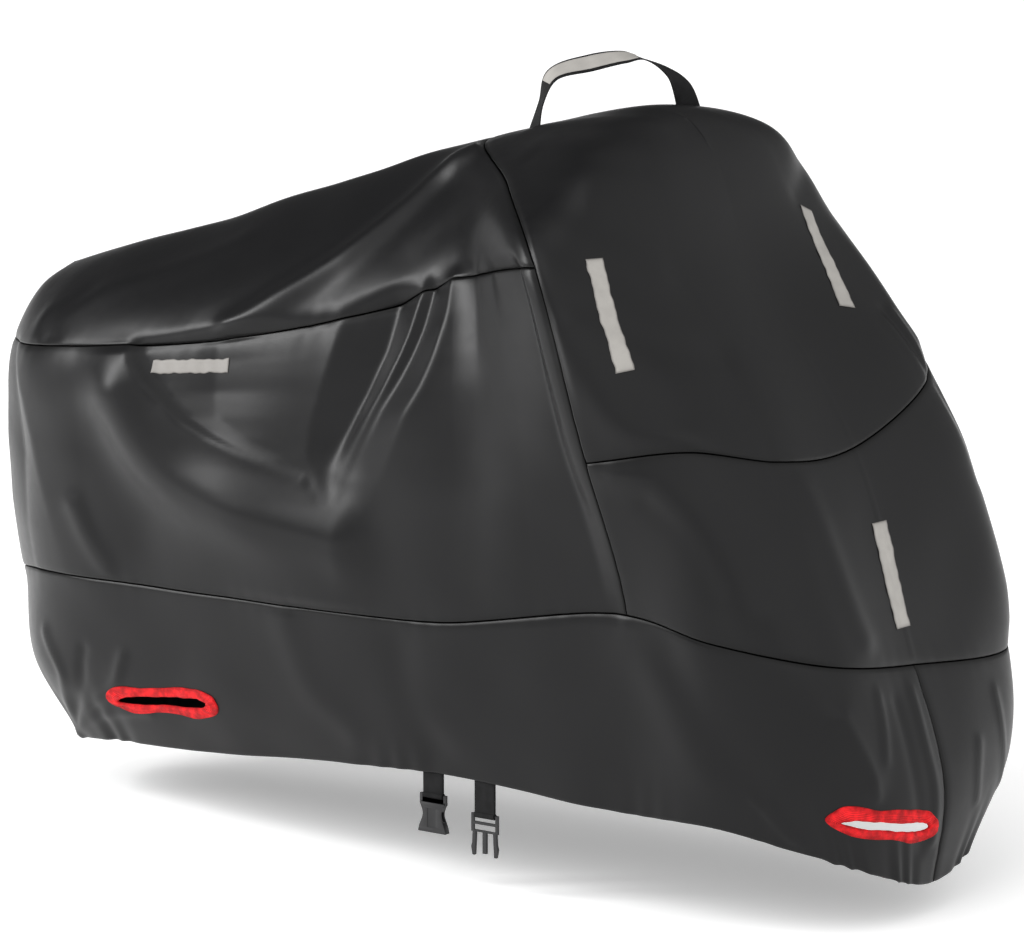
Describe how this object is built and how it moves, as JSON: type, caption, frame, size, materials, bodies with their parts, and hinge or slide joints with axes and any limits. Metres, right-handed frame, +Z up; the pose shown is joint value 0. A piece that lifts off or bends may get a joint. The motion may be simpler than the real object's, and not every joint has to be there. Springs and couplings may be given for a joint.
{
  "type": "scooter cover",
  "caption": "Fitted two-wheeler dust cover of coated cloth: a hollow, open-bottomed shell with a hood, skirt, bound lock slots, carrying handle and an under-belt.",
  "frame": {"origin": "underside of the top on the middle line over the seat, where the cover rests on what it protects", "axes": "+X towards the nose, +Y towards the cover's left, +Z up"},
  "size_m": [1.7784, 0.807, 1.208],
  "materials": {
    "coated_polyester": "matt woven polyester with a water-repellent coating",
    "reflective_tape": "silver-grey retroreflective tape",
    "red_webbing": "folded ribbed webbing",
    "black_webbing": "ribbed polypropylene webbing",
    "black_acetal": "moulded, slightly glossy"
  },
  "bodies": {
    "root": {"top_panel": "coated_polyester", "side_panel_right": "coated_polyester", "side_panel_left": "coated_polyester", "hood": "coated_polyester", "front_panel": "coated_polyester", "skirt_right": "coated_polyester", "skirt_left": "coated_polyester", "rear_slot_binding": "red_webbing", "front_slot_binding": "red_webbing", "side_strip_right": "reflective_tape", "side_strip_left": "reflective_tape", "hood_strip_right": "reflective_tape", "hood_strip_left": "reflective_tape", "front_strip": "reflective_tape", "handle_strip": "reflective_tape", "handle": "black_webbing", "socket_strap": "black_webbing", "plug_strap": "black_webbing", "buckle_socket": "black_acetal", "buckle_plug": "black_acetal"}
  },
  "joints": []
}
